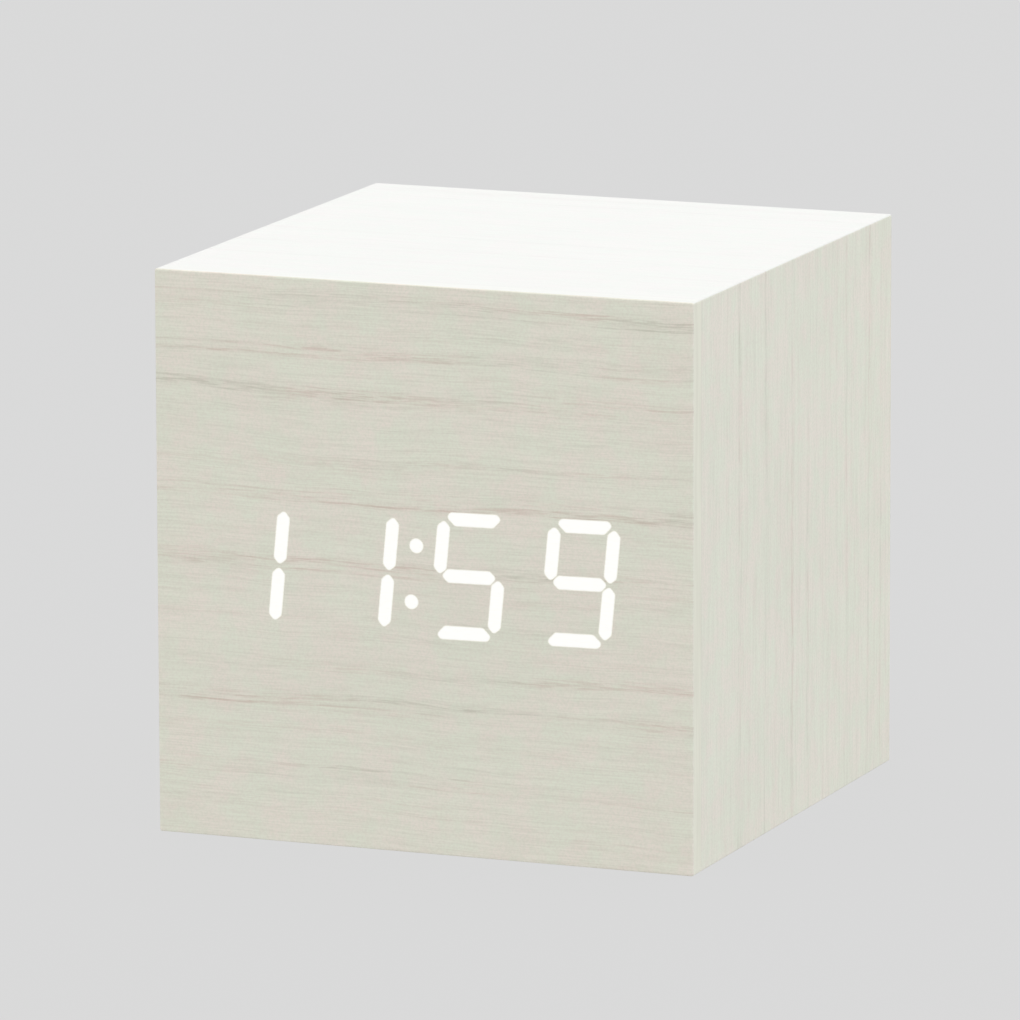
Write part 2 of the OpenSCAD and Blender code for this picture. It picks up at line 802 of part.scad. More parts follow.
// Places on the main board, from its front edge
chip_at = [-13, 6];
crystal_at = [display_x, 7.8];
thermistor_at = [display_x, 11.2];
capacitor_at = [6.7, 9.2];
buzzer_at = [15.3, 7.4];
battery_plug_x = 8;
buzzer_d = 8.4;

// Stands the children on the main board
module on_board(at) {
    translate([at.x, board_y0 + at.y, board_z1]) children();
}

module clock_chip() {
    color(black_tone) on_board(chip_at) chip([12.8, 7.5, 2.3], 10, 1.27);
}

module crystal() {
    color(steel_tone) on_board(crystal_at) translate([0, 0, 1]) along_x(-3, 3) circle(d = 2);
}

module buzzer() {
    color(black_tone) on_board(buzzer_at) difference() {
        cylinder(d = buzzer_d, h = 4.5);
        translate([0, 0, 3]) cylinder(d = 1.6, h = 2);
    }
}

module thermistor() {
    color("navy") on_board(thermistor_at) {
        translate([0, 0, 2.6]) sphere(d = 2);
        for (side = [-1, 1]) translate([side * 0.6, 0, 0]) cylinder(d = 0.4, h = 2.4);
    }
}

module capacitor() {
    color("slategray") on_board(capacitor_at) rotate_extrude() polygon([
        [0, 0], [2.5, 0], [2.5, 1], [2.3, 1.2], [2.5, 1.4], [2.5, 5.1], [2.3, 5.4], [0, 5.4]
    ]);
}

module ribbon_connector() {
    color(ivory_tone) on_board([display_x, housing_size.y]) translate([0, 0, housing_size.z / 2])
        rotate([0, 0, 180]) ribbon_housing(housing_size.y);
}

module battery_connector() {
    size = [6, 5, 4];
    color(ivory_tone) on_board([battery_plug_x, 0]) difference() {
        block([-size.x / 2, 0, 0], [size.x / 2, size.y, size.z]);
        for (side = [-1, 1]) translate([side * 1.25, 0, 2]) rod_y(-1, 0.8, lead_d + 2 * seat);
    }
}

// Places the children at a button's centre line
module at_button(i) {
    translate([button_x + i * button_pitch, 0, button_z]) children();
}

module switch_bodies() {
    color(black_tone) for (i = [0:2]) at_button(i) difference() {
        block(
            [-switch_size.x / 2, switch_y1 - switch_size.y, board_z1 - button_z],
            [switch_size.x / 2, switch_y1, board_z1 - button_z + switch_size.z]
        );
        rod_y(switch_y1 - plunger_hold - button_travel - 0.1, switch_y1 + 1, plunger_d + 2 * plunger_clear);
    }
}

module plunger(i) {
    color(ivory_tone) at_button(i) rod_y(switch_y1 - plunger_hold, pad_y, plunger_d);
}

module plunger_set() {
    plunger(0);
}

module plunger_up() {
    plunger(1);
}

module plunger_down() {
    plunger(2);
}

// A button: a cap through the panel, a flange that keeps it in, and a pad that meets the plunger
module button(i) {
    cap_r = button_d / 2;
    pad_r = plunger_d / 2 + 0.4;
    soft = 0.35;
    flange_y1 = plate_y0 - button_back;
    flange_y0 = flange_y1 - 0.6;
    top = plate_y1 + button_proud;
    color(black_tone) at_button(i) rotate([-90, 0, 0]) rotate_extrude() polygon(concat(
        [
            [0, pad_y], [pad_r, pad_y], [pad_r, flange_y0],
            [flange_r, flange_y0], [flange_r, flange_y1], [cap_r, flange_y1]
        ],
        arc(cap_r - soft, top - soft, soft, 0, 90, edge_steps),
        [[0, top]]
    ));
}

module button_set() {
    button(0);
}

module button_up() {
    button(1);
}

module button_down() {
    button(2);
}

// Outline of the power jack, larger by grow all round, its narrow side down
module jack_outline(grow) {
    half = jack_w / 2 + grow;
    waist = half - 0.9;
    shoulder = jack_h * 0.45;
    polygon([
        [-half, jack_h + grow], [-half, shoulder], [-waist, -grow],
        [waist, -grow], [half, shoulder], [half, jack_h + grow]
    ]);
}

module jack_shell() {
    color(steel_tone) translate([jack_x, 0, board_z1]) difference() {
        along_y(jack_y0, jack_y1) jack_outline(0);
        along_y(jack_y0 + jack_t, jack_y1 + 1) jack_outline(-jack_t);
    }
}

// Places the children in the jack's middle, at the foot of its tongue
module at_tongue() {
    translate([jack_x, tongue_y0, board_z1 + jack_h / 2]) children();
}

module jack_tongue() {
    color(black_tone) {
        translate([jack_x, 0, board_z1]) along_y(jack_y0 + jack_t + seat, tongue_y0)
            jack_outline(-jack_t - seat);
        at_tongue() block([-tongue_size.x / 2, -0.1, 0], tongue_size - [tongue_size.x / 2, 0, 0]);
    }
}

module jack_contacts() {
    size = [0.34, tongue_size.y - 0.4, 0.15];
    pitch = 0.8;
    color("gold") at_tongue() for (i = [-2:2]) translate([i * pitch, 0, 0])
        block([-size.x / 2, 0, -size.z], [size.x / 2, size.y, 0]);
}

wall_top();
wall_bottom();
wall_left();
wall_right();
corner_blocks();
front_board();
front_film();
diffuser_sheet();
light_frame();
lit_lenses();
dark_lenses();
tape_ring();
display_board();
segment_leds();
driver_chip();
display_connector();
display_screws();
ribbon_cable();
back_panel();
case_screws();
battery_door();
cell_top();
cell_middle();
cell_bottom();
contact_springs();
contact_plates();
lead_red();
lead_black();
main_board();
clock_chip();
crystal();
buzzer();
thermistor();
capacitor();
ribbon_connector();
battery_connector();
switch_bodies();
board_screws();
jack_shell();
jack_tongue();
jack_contacts();
button_set();
button_up();
button_down();
plunger_set();
plunger_up();
plunger_down();
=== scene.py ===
"""A pale wood-grain cube clock on a plain floor, its digits glowing through the front film."""

import json
import math

import bmesh
import bpy
from mathutils import Matrix, Vector
from mathutils.geometry import delaunay_2d_cdt


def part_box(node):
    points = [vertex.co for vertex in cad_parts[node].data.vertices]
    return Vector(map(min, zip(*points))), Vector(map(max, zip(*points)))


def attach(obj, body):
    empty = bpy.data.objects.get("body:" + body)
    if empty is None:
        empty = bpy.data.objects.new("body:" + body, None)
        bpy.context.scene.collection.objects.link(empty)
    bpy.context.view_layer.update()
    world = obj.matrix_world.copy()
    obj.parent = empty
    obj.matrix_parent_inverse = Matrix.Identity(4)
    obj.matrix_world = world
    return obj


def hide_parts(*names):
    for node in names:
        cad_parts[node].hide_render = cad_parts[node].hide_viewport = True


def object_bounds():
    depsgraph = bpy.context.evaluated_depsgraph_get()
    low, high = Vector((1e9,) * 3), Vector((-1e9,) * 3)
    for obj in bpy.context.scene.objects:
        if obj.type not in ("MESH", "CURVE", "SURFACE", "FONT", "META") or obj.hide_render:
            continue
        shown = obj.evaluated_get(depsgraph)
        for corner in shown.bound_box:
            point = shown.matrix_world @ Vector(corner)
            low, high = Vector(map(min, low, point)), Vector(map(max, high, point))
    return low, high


MM = 0.001

# Camera, as angles round the object and a lens on a 36 mm sensor
AZIMUTH = math.radians(21.8)
ELEVATION = math.radians(10.94)
ROLL = math.radians(-0.177)
DISTANCE = 1.0993
LENS = 365.1
AIM_LEFT = 2.04 * MM
AIM_UP = 1.02 * MM

# Light
SKY_STRENGTH = 1.15
OVERHEAD_POWER = 1.85
SIDE_POWER = 1.5
FLOOR_GLOW = 0.66

# Floor: a flat round, then a rim that curves up
FLOOR_FLAT = 2.4
FLOOR_CURVE = 1.0
FLOOR_RISE = 0.2
FLOOR_SIDES = 64
FLOOR_STEPS = 12

# Vertices closer than this are one
MERGE = 0.002 * MM

# Film colours
PALE = (0.755, 0.745, 0.645)
GREENISH = (0.73, 0.755, 0.64)
PINKISH = (0.785, 0.725, 0.65)
RED_STREAK = (0.45, 0.26, 0.22)
GREY_STREAK = (0.33, 0.31, 0.24)
# Painted highlight: the paler, cooler colour the film's top face is painted with, for the glare of the
# light from above
TOP_GLARE_COLOUR = (0.717, 0.73, 0.755)
WRAP = (0.745, 0.735, 0.625)
FIBRE = (0.36, 0.22, 0.12)

# How far the bright and the faint light spread beyond a bar's lens, and the reach of its soft corners
BAR_SPREAD = 0.06 * MM
GLOW_SPREAD = 0.14 * MM
BAR_CORNER = 0.2 * MM

# Rounding of the film's front edges and of its corners, and the steps of each quarter turn
FILM_ROUND = 0.15 * MM
ROUND_STEPS = 4
FILM_CORNER = 0.2 * MM
CORNER_STEPS = 6

# Rounding of the moulded and pressed pieces' edges
SOFT_EDGES = {"jack_shell": 0.08 * MM, "jack_tongue": 0.1 * MM, "case_screws": 0.1 * MM}

# Depth of the top's painted highlight, the stretch over which it fades, and how strongly the top is
# painted paler
TOP_GLARE_DEPTH = 0.16 * MM
TOP_GLARE_FADE = 0.12 * MM
TOP_GLARE_SHARE = 0.6

# Growth bands of the front film: height above the base in mm and how dark each is, then half a width
FRONT_BANDS = (
    (7.6, 1.0), (15.4, 0.85), (19.3, 0.5), (29.7, 0.9), (37.1, 0.9),
    (41.4, 0.4), (48.3, 0.85), (52.3, 0.8), (57.5, 1.0),
)
FRONT_BAND_HALF = 1.25
# Growth lines of the wall film: distance behind the front in mm and how dark each is, then half a width
WALL_LINES = (
    (13.5, 0.7), (21.4, 0.55), (29.3, 0.7), (34.0, 0.4),
    (38.8, 0.5), (46.0, 0.4), (52.9, 0.55), (56.9, 0.5),
)
WALL_LINE_HALF = 0.8

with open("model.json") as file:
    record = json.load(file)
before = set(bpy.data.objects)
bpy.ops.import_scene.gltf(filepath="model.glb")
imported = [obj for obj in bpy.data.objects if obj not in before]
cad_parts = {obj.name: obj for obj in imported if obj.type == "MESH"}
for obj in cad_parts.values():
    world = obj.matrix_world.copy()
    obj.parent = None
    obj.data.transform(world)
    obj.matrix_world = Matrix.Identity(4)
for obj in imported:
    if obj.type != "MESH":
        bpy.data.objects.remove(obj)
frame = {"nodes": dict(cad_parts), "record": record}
cad_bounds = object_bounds()
nodes = frame["nodes"]
slots = {part["node"]: part["material_slot"] for part in frame["record"]["subparts"]}

case_low, case_high = (Vector(corner) for corner in cad_bounds)
film_low, film_high = (Vector(corner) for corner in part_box("front_film"))
film_t = film_high.y - film_low.y
board_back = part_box("front_board")[1][1]
middle = Vector((0.0, 0.0, (case_low.z + case_high.z) / 2))


class Graph:
    """The node tree of one material, round its Principled shader."""

    def __init__(self, name):
        self.material = bpy.data.materials.new(name)
        self.material.use_nodes = True
        self.tree = self.material.node_tree
        self.shader = self.tree.nodes["Principled BSDF"]
        self.place = self.add("ShaderNodeTexCoord").outputs["Object"]

    def put(self, socket, value):
        if isinstance(value, bpy.types.NodeSocket):
            self.tree.links.new(value, socket)
        else:
            socket.default_value = value

    def add(self, kind, **values):
        node = self.tree.nodes.new(kind)
        for name, value in values.items():
            self.put(node.inputs[name], value)
        return node

    def set(self, name, value):
        """Sets or links one of the shader's own inputs."""
        if isinstance(value, tuple) and len(value) == 3:
            value = (*value, 1.0)
        self.put(self.shader.inputs[name], value)

    def axes(self):
        """The x, y and z of the point, in metres."""
        return self.add("ShaderNodeSeparateXYZ", Vector=self.place).outputs

    def calc(self, operation, first, second=0.0):
        node = self.tree.nodes.new("ShaderNodeMath")
        node.operation = operation
        self.put(node.inputs[0], first)
        self.put(node.inputs[1], second)
        return node.outputs[0]

    def span(self, value, low, high, first=0.0, last=1.0):
        """Runs smoothly from first to last as value goes from low to high."""
        node = self.tree.nodes.new("ShaderNodeMapRange")
        node.interpolation_type = "SMOOTHSTEP"
        for i, part in enumerate((value, low, high, first, last)):
            self.put(node.inputs[i], part)
        return node.outputs[0]

    def noise(self, per_metre, detail=2.0, rough=0.5, shift=0.0, along=None):
        """Noise with so many features to the metre along x, y and z."""
        node = self.tree.nodes.new("ShaderNodeMapping")
        self.put(node.inputs["Vector"], along or self.place)
        node.inputs["Scale"].default_value = per_metre
        node.inputs["Location"].default_value = (shift, shift, shift)
        return self.add(
            "ShaderNodeTexNoise", Vector=node.outputs[0], Scale=1.0, Detail=detail, Roughness=rough
        ).outputs[0]

    def mix(self, factor, first, second):
        node = self.tree.nodes.new("ShaderNodeMix")
        node.data_type = "RGBA"
        self.put(node.inputs[0], factor)
        for socket, colour in ((node.inputs[6], first), (node.inputs[7], second)):
            self.put(socket, (*colour, 1.0) if isinstance(colour, tuple) else colour)
        return node.outputs[2]

    def ramp(self, value, stops):
        """A grey ramp through (place, level) stops."""
        node = self.add("ShaderNodeValToRGB", Fac=value)
        elements = node.color_ramp.elements
        for i, (place, level) in enumerate(stops):
            stop = elements[i] if i < len(elements) and i < 2 else elements.new(place)
            stop.position = place
            stop.color = (level, level, level, 1.0)
        return node.outputs[0]

    def bump(self, height, depth, strength=1.0):
        """Raises the surface by height times depth metres."""
        node = self.add("ShaderNodeBump", Height=height, Distance=depth, Strength=strength)
        self.put(self.shader.inputs["Normal"], node.outputs[0])


def band_stops(bands, length, half):
    """Ramp stops that peak at each band and fall to nothing half a width away, as shares of length."""
    stops = [(0.0, 0.0)]
    for place, level in sorted(bands):
        for step, share in ((-half, 0.0), (0.0, level), (half, 0.0)):
            stops.append((max(stops[-1][0] + 1e-4, (place + step) * MM / length), share))
    return stops


def on_outside(g, x, z):
    """1 on the outer skin of the case and 0 inside it."""
    rise = g.calc("ABSOLUTE", g.calc("SUBTRACT", z, middle.z))
    reach = g.calc("MAXIMUM", g.calc("ABSOLUTE", x), rise)
    skin = case_high.x - film_t
    return g.span(reach, skin - 0.02 * MM, skin)


def film_colour(g, across, bands, half):
    """Wood-grain print: pale ground, broken dark lines gathered in wandering bands, and fine fibres."""
    axis = "xyz".index(across)
    start = case_low[axis]
    length = case_high[axis] - start
    parts = list(g.axes())

    def stretched(run, cut, **rest):
        """Noise drawn out along the grain: features to the metre along it and across it."""
        return g.noise(tuple(cut if i == axis else run for i in range(3)), **rest)

    wander = g.calc("MULTIPLY", g.calc("SUBTRACT", stretched(40, 45, detail=2.0), 0.5), half * 1.4 * MM)
    parts[axis] = g.calc("ADD", parts[axis], wander)
    flow = g.add("ShaderNodeCombineXYZ", X=parts[0], Y=parts[1], Z=parts[2]).outputs[0]
    share = g.calc("DIVIDE", g.calc("SUBTRACT", parts[axis], start), length)
    band = g.ramp(share, band_stops(bands, length, half))
    lines = g.span(stretched(24, 1300, detail=3.0, rough=0.6, along=flow), 0.43, 0.66)
    dashes = g.span(stretched(300, 4600, detail=2.0, rough=0.6, shift=3.1, along=flow), 0.40, 0.62)
    breaks = g.span(stretched(85, 800, detail=2.0, shift=8.8, along=flow), 0.42, 0.56)
    fibres = stretched(150, 6500, detail=3.0, rough=0.7, shift=7.7, along=flow)
    mottle = g.noise((300, 300, 300), detail=3.0, rough=0.6, shift=11.3)
    speck = g.noise((3600, 3600, 3600), detail=1.0, shift=2.2)
    cloud = g.noise((35, 35, 70), shift=6.6)

    ground = g.mix(g.span(mottle, 0.36, 0.64), GREENISH, PINKISH)
    ground = g.mix(g.span(speck, 0.30, 0.70, 0.1, 0.7), ground, PALE)
    for noise, depth in ((fibres, 0.14), (speck, 0.09), (cloud, 0.03)):
        ground = g.mix(g.span(noise, 0.36, 0.72, 0.0, depth), ground, GREY_STREAK)
    streak = g.mix(g.span(stretched(60, 260, shift=5.0), 0.42, 0.58), GREY_STREAK, RED_STREAK)

    # A pair of broken lines flanks the middle of each band, and finer ones fill it
    pair = g.calc("MULTIPLY", g.span(band, 0.40, 0.53), g.span(band, 0.53, 0.66, 1.0, 0.0))
    pair = g.calc("MULTIPLY", g.calc("MULTIPLY", pair, breaks), g.span(dashes, 0.0, 1.0, 0.35, 1.0))
    filled = g.calc("MULTIPLY", band, g.span(lines, 0.0, 1.0, 0.20, 1.0))
    filled = g.calc("MULTIPLY", filled, g.span(dashes, 0.0, 1.0, 0.30, 1.0))
    anywhere = g.calc("MULTIPLY", g.calc("MULTIPLY", lines, dashes), 0.10)
    dark = g.calc("ADD", g.calc("MULTIPLY", filled, 0.30), anywhere)
    dark = g.calc("ADD", g.calc("MULTIPLY", pair, 0.20), dark)
    return g.mix(dark, ground, streak), dark, fibres


def press_in(g, dark, fibres):
    """Film pressed in along its dark lines and fibres."""
    g.bump(g.calc("SUBTRACT", g.calc("MULTIPLY", fibres, 0.35), dark), 0.03 * MM, 0.5)


def fibreboard_colour(g):
    """Sawn fibreboard: short tangled fibres, darker where the blade burnt it."""
    dark, burnt, light = (tuple(c * share for c in FIBRE) for share in (0.62, 0.7, 1.35))
    speck = g.noise((2600, 2600, 2600), 3.0, 0.65)
    cloud = g.noise((160, 160, 160), 2.0, 0.5, 4.0)
    colour = g.mix(g.span(speck, 0.35, 0.68), dark, light)
    return g.mix(g.span(cloud, 0.4, 0.7, 0.0, 0.35), colour, burnt), speck


def paint_top_glare(g, z, colour):
    """The film's colour with its upper face painted paler and cooler: a painted highlight for the glare
    of the light from above.
    """
    start = case_high.z - TOP_GLARE_DEPTH
    return g.mix(g.span(z, start, start + TOP_GLARE_FADE, 0.0, TOP_GLARE_SHARE), colour, TOP_GLARE_COLOUR)


def front_film():
    """The front's film, with its grain level."""
    g = Graph("front_film")
    colour, dark, fibres = film_colour(g, "z", FRONT_BANDS, FRONT_BAND_HALF)
    g.set("Base Color", colour)
    g.set("Roughness", g.span(fibres, 0.3, 0.7, 0.46, 0.56))
    press_in(g, dark, fibres)
    return g.material


def film_board():
    """Wall boards: film outside, bare fibreboard on every cut face."""
    g = Graph("film_board")
    x, y, z = g.axes()
    colour, dark, fibres = film_colour(g, "y", WALL_LINES, WALL_LINE_HALF)
    skin = on_outside(g, x, z)
    # The film's upper face is painted paler and cooler, a painted highlight for the glare from above
    g.set("Base Color", g.mix(skin, fibreboard_colour(g)[0], paint_top_glare(g, z, colour)))
    g.set("Roughness", g.span(skin, 0.0, 1.0, 0.85, 0.52))
    press_in(g, dark, fibres)
    return g.material


def fibreboard():
    """Front board and corner blocks: bare board inside, film wrapped over the board's outer edges."""
    g = Graph("fibreboard")
    x, y, z = g.axes()
    cut, speck = fibreboard_colour(g)
    wrap = g.mix(g.span(g.noise((90, 1500, 90), detail=3.0), 0.35, 0.7, 0.0, 0.12), WRAP, GREY_STREAK)
    seam = g.span(y, board_back - 0.10 * MM, board_back - 0.03 * MM, 0.0, 0.28)
    # The wrap's upper face gets the same painted highlight as the film
    wrap = paint_top_glare(g, z, g.mix(seam, wrap, GREY_STREAK))
    skin = on_outside(g, x, z)
    g.set("Base Color", g.mix(skin, cut, wrap))
    g.set("Roughness", g.span(skin, 0.0, 1.0, 0.85, 0.5))
    g.bump(speck, 0.04 * MM, 0.4)
    return g.material


def lit_film(name, ground, fibre, strength):
    """Film lit from behind."""
    g = Graph(name)
    fibres = g.noise((900, 900, 5200))
    g.set("Base Color", g.mix(g.span(fibres, 0.4, 0.6), ground, fibre))
    g.set("Roughness", 0.5)
    g.shader.inputs["Emission Color"].default_value = (1.0, 0.995, 0.975, 1.0)
    g.shader.inputs["Emission Strength"].default_value = strength
    return g.material


def moulded(name, colour, low, high, grain=0.012, scale=4200, coat=0.0):
    """Moulded plastic or rubber: spark-eroded grain, faint cloudiness and rubbed patches."""
    g = Graph(name)
    cloud = g.noise((130, 130, 130), 3.0, 0.55)
    fine = g.noise((scale, scale, scale), 2.0, 0.5)
    rub = g.span(g.noise((700, 700, 90), 3.0, 0.7, 5.0), 0.62, 0.78)
    darker = tuple(c * 0.92 for c in colour)
    lighter = tuple(min(1.0, c * 1.12 + 0.002) for c in colour)
    rubbed = tuple(min(1.0, c * 1.5 + 0.02) for c in colour)
    shade = g.mix(g.span(cloud, 0.35, 0.68), darker, lighter)
    g.set("Base Color", g.mix(g.calc("MULTIPLY", rub, 0.25), shade, rubbed))
    g.set("Roughness", g.span(cloud, 0.3, 0.7, low, high))
    g.bump(fine, grain * MM, 0.7)
    if coat:
        g.set("Coat Weight", coat)
        g.set("Coat Roughness", 0.15)
    return g.material


def metal(name, colour, low, high, run=(300, 300, 4200)):
    """Plated metal: drawn lines, tarnish and small scratches."""
    g = Graph(name)
    tarnish = g.noise((260, 260, 260), 3.0, 0.6)
    drawn = g.noise(run, 2.0, 0.6, 2.0)
    g.set("Metallic", 1.0)
    g.set("Base Color", g.mix(g.span(tarnish, 0.45, 0.75), colour, tuple(c * 0.7 for c in colour)))
    g.set("Roughness", g.span(drawn, 0.3, 0.7, low, high))
    g.bump(drawn, 0.006 * MM, 0.6)
    return g.material


def circuit_board():
    """Solder mask over copper tracks, with its glass weave just showing."""
    g = Graph("circuit_board")
    x, y, z = g.axes()
    warp, weft = (g.calc("SINE", g.calc("MULTIPLY", way, 9000.0)) for way in (x, g.calc("ADD", y, z)))
    weave = g.calc("MULTIPLY", warp, weft)
    bend = g.calc("MULTIPLY", g.noise((60, 60, 60), detail=0.0), 20 * MM)
    turn = g.calc("PINGPONG", g.calc("ADD", x, bend), 1.1 * MM)
    track = g.span(turn, 0.28 * MM, 0.34 * MM, 1.0, 0.0)
    base = g.mix(g.span(weave, -1.0, 1.0), (0.010, 0.085, 0.034), (0.016, 0.12, 0.05))
    g.set("Base Color", g.mix(track, base, (0.03, 0.20, 0.085)))
    g.set("Roughness", g.span(g.noise((500, 500, 500)), 0.3, 0.7, 0.25, 0.4))
    g.bump(g.calc("ADD", track, g.calc("MULTIPLY", weave, 0.1)), 0.02 * MM, 0.6)
    return g.material


def cell_sleeve():
    """Printed foil sleeve with a copper-coloured band at the button's end, and bare steel ends."""
    g = Graph("cell_sleeve")
    x, y, z = g.axes()
    low, high = (Vector(corner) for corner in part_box("cell_middle"))
    length = high.x - low.x
    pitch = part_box("cell_top")[0][2] - low.z
    from_row = g.calc("ABSOLUTE", g.calc("SUBTRACT", z, (low.z + high.z) / 2))
    # The middle cell lies the other way round, so its x is turned over
    to_button = g.calc("MULTIPLY", x, g.span(from_row, pitch * 0.49, pitch * 0.51, -1.0, 1.0))
    band_start, end_start, fade = length * 0.22, length * 0.488, 0.1 * MM
    band = g.span(to_button, band_start, band_start + fade)
    ends = g.span(g.calc("ABSOLUTE", x), end_start, end_start + fade)
    cloud = g.noise((200, 200, 200), 3.0)
    sleeve = g.mix(g.span(cloud, 0.3, 0.7), (0.014, 0.12, 0.13), (0.018, 0.145, 0.155))
    colour = g.mix(band, sleeve, (0.62, 0.30, 0.12))
    g.set("Base Color", g.mix(ends, colour, (0.62, 0.62, 0.62)))
    g.set("Metallic", g.span(g.calc("MAXIMUM", band, ends), 0.0, 1.0, 0.35, 1.0))
    g.set("Roughness", g.span(cloud, 0.3, 0.7, 0.2, 0.34))
    g.bump(g.noise((90, 900, 900), 2.0), 0.02 * MM, 0.3)
    return g.material


MATERIALS = {
    "film_board": film_board,
    "front_film": front_film,
    "lit_bar": lambda: lit_film("lit_bar", (0.16, 0.16, 0.15), (0.14, 0.14, 0.13), 0.842),
    "bar_glow": lambda: lit_film("bar_glow", PALE, tuple(c * 0.9 for c in PALE), 0.17),
    "fibreboard": fibreboard,
    "circuit_board": circuit_board,
    "cell_sleeve": cell_sleeve,
    "diffuser": lambda: moulded("diffuser", (0.80, 0.80, 0.77), 0.55, 0.7, 0.004),
    "white_plastic": lambda: moulded("white_plastic", (0.78, 0.78, 0.76), 0.35, 0.5),
    "lens_resin": lambda: moulded("lens_resin", (0.74, 0.73, 0.66), 0.2, 0.35, 0.005, 1500, 0.4),
    "foam_tape": lambda: moulded("foam_tape", (0.72, 0.70, 0.62), 0.8, 0.95, 0.05, 2500),
    "led_phosphor": lambda: moulded("led_phosphor", (0.80, 0.66, 0.16), 0.3, 0.45, 0.005, 6000, 0.5),
    "chip_black": lambda: moulded("chip_black", (0.018, 0.018, 0.020), 0.5, 0.7, 0.012, 6500),
    "ivory_plastic": lambda: moulded("ivory_plastic", (0.76, 0.73, 0.63), 0.35, 0.5, 0.008),
    "black_plastic": lambda: moulded("black_plastic", (0.021, 0.021, 0.023), 0.42, 0.6, 0.02, 3600),
    "button_rubber": lambda: moulded("button_rubber", (0.042, 0.042, 0.044), 0.55, 0.75, 0.015, 5200),
    "ribbon_grey": lambda: moulded("ribbon_grey", (0.42, 0.42, 0.42), 0.4, 0.55, 0.006),
    "lead_red": lambda: moulded("lead_red", (0.40, 0.015, 0.012), 0.35, 0.5, 0.006),
    "lead_black": lambda: moulded("lead_black", (0.018, 0.018, 0.018), 0.35, 0.5, 0.006),
    "thermistor_blue": lambda: moulded("thermistor_blue", (0.02, 0.045, 0.22), 0.2, 0.3, 0.01, 1800, 0.6),
    "plated_steel": lambda: metal("plated_steel", (0.60, 0.60, 0.61), 0.22, 0.4),
    "capacitor_can": lambda: metal("capacitor_can", (0.66, 0.67, 0.69), 0.25, 0.4, (4200, 300, 300)),
    "gold_contact": lambda: metal("gold_contact", (0.85, 0.62, 0.25), 0.15, 0.3),
}
materials = {name: make() for name, make in MATERIALS.items()}


def dress(obj, name):
    """Gives an object one material."""
    obj.data.materials.clear()
    obj.data.materials.append(materials[name])


def soften(obj, width):
    """Rounds an object's sharp edges a little."""
    weld = obj.modifiers.new("weld", "WELD")
    weld.merge_threshold = MERGE
    edge = obj.modifiers.new("edge", "BEVEL")
    edge.width = width
    edge.segments = 2
    edge.limit_method = "ANGLE"
    edge.angle_limit = math.radians(30)
    edge.harden_normals = True


def front_loops(obj):
    """Outlines of an object's front faces, as lists of (x, z)."""
    bm = bmesh.new()
    bm.from_mesh(obj.data)
    bmesh.ops.remove_doubles(bm, verts=bm.verts, dist=MERGE)
    front = min(v.co.y for v in bm.verts)
    faces = {f for f in bm.faces if max(v.co.y for v in f.verts) - front < MERGE / 2}
    edges = [e for e in bm.edges if sum(f in faces for f in e.link_faces) == 1]
    loops = []
    while edges:
        edge = edges.pop()
        first, here = edge.verts
        loop = [first]
        while here != first:
            loop.append(here)
            edge = next(e for e in here.link_edges if e in edges)
            edges.remove(edge)
            here = edge.other_vert(here)
        loops.append([(v.co.x, v.co.z) for v in loop])
    bm.free()
    return loops


def grown(loop, reach):
    """The loop moved outwards all round, each side staying parallel to itself."""
    corners = []
    for before, here, after in zip(loop[-1:] + loop[:-1], loop, loop[1:] + loop[:1]):
        before, here, after = Vector(before), Vector(here), Vector(after)
        sides = [(here - before).normalized(), (after - here).normalized()]
        outs = [Vector((side.y, -side.x)) for side in sides]
        out = (outs[0] + outs[1]).normalized()
        corners.append(tuple(here + out * (reach / out.dot(outs[0]))))
    return corners


def rounded(loop, reach):
    """The loop with each corner replaced by a short curve that starts no further than reach from it."""
    points = []
    for before, here, after in zip(loop[-1:] + loop[:-1], loop, loop[1:] + loop[:1]):
        before, here, after = Vector(before), Vector(here), Vector(after)
        start = here + (before - here) * min(0.45, reach / (before - here).length)
        end = here + (after - here) * min(0.45, reach / (after - here).length)
        for t in (0.0, 0.5, 1.0):
            points.append(tuple((1 - t) ** 2 * start + 2 * t * (1 - t) * here + t * t * end))
    return points


def turned(loop):
    """The loop, running anticlockwise as seen from the front."""
    area = sum(ax * bz - bx * az for (ax, az), (bx, bz) in zip(loop, loop[1:] + loop[:1]))
    return loop if area > 0 else loop[::-1]


def rounded_rectangle(half_w, half_h, radius, steps):
    """Points of a rectangle with round corners about the front's middle."""
    points = []
    for quarter, (sx, sz) in enumerate(((1, 1), (-1, 1), (-1, -1), (1, -1))):
        for k in range(steps + 1):
            angle = math.radians(90 * (quarter + k / steps))
            x = sx * (half_w - radius) + radius * math.cos(angle)
            z = sz * (half_h - radius) + radius * math.sin(angle)
            points.append((x, middle.z + z))
    return points


def finished(bm, name, material):
    """Turns a bmesh into an object that rides on the case."""
    bmesh.ops.recalc_face_normals(bm, faces=bm.faces)
    mesh = bpy.data.meshes.new(name)
    bm.to_mesh(mesh)
    bm.free()
    obj = bpy.data.objects.new(name, mesh)
    bpy.context.scene.collection.objects.link(obj)
    dress(obj, material)
    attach(obj, "case")
    return obj


def bridge(bm, first, second):
    """Side faces between two rings of equally many vertices."""
    for i in range(len(first)):
        j = (i + 1) % len(first)
        bm.faces.new((first[i], first[j], second[j], second[i]))


def inside(x, z, loop):
    """Whether a point lies inside a loop."""
    hit = False
    for (ax, az), (bx, bz) in zip(loop, loop[1:] + loop[:1]):
        if (az > z) != (bz > z) and x < (bx - ax) * (z - az) / (bz - az) + ax:
            hit = not hit
    return hit


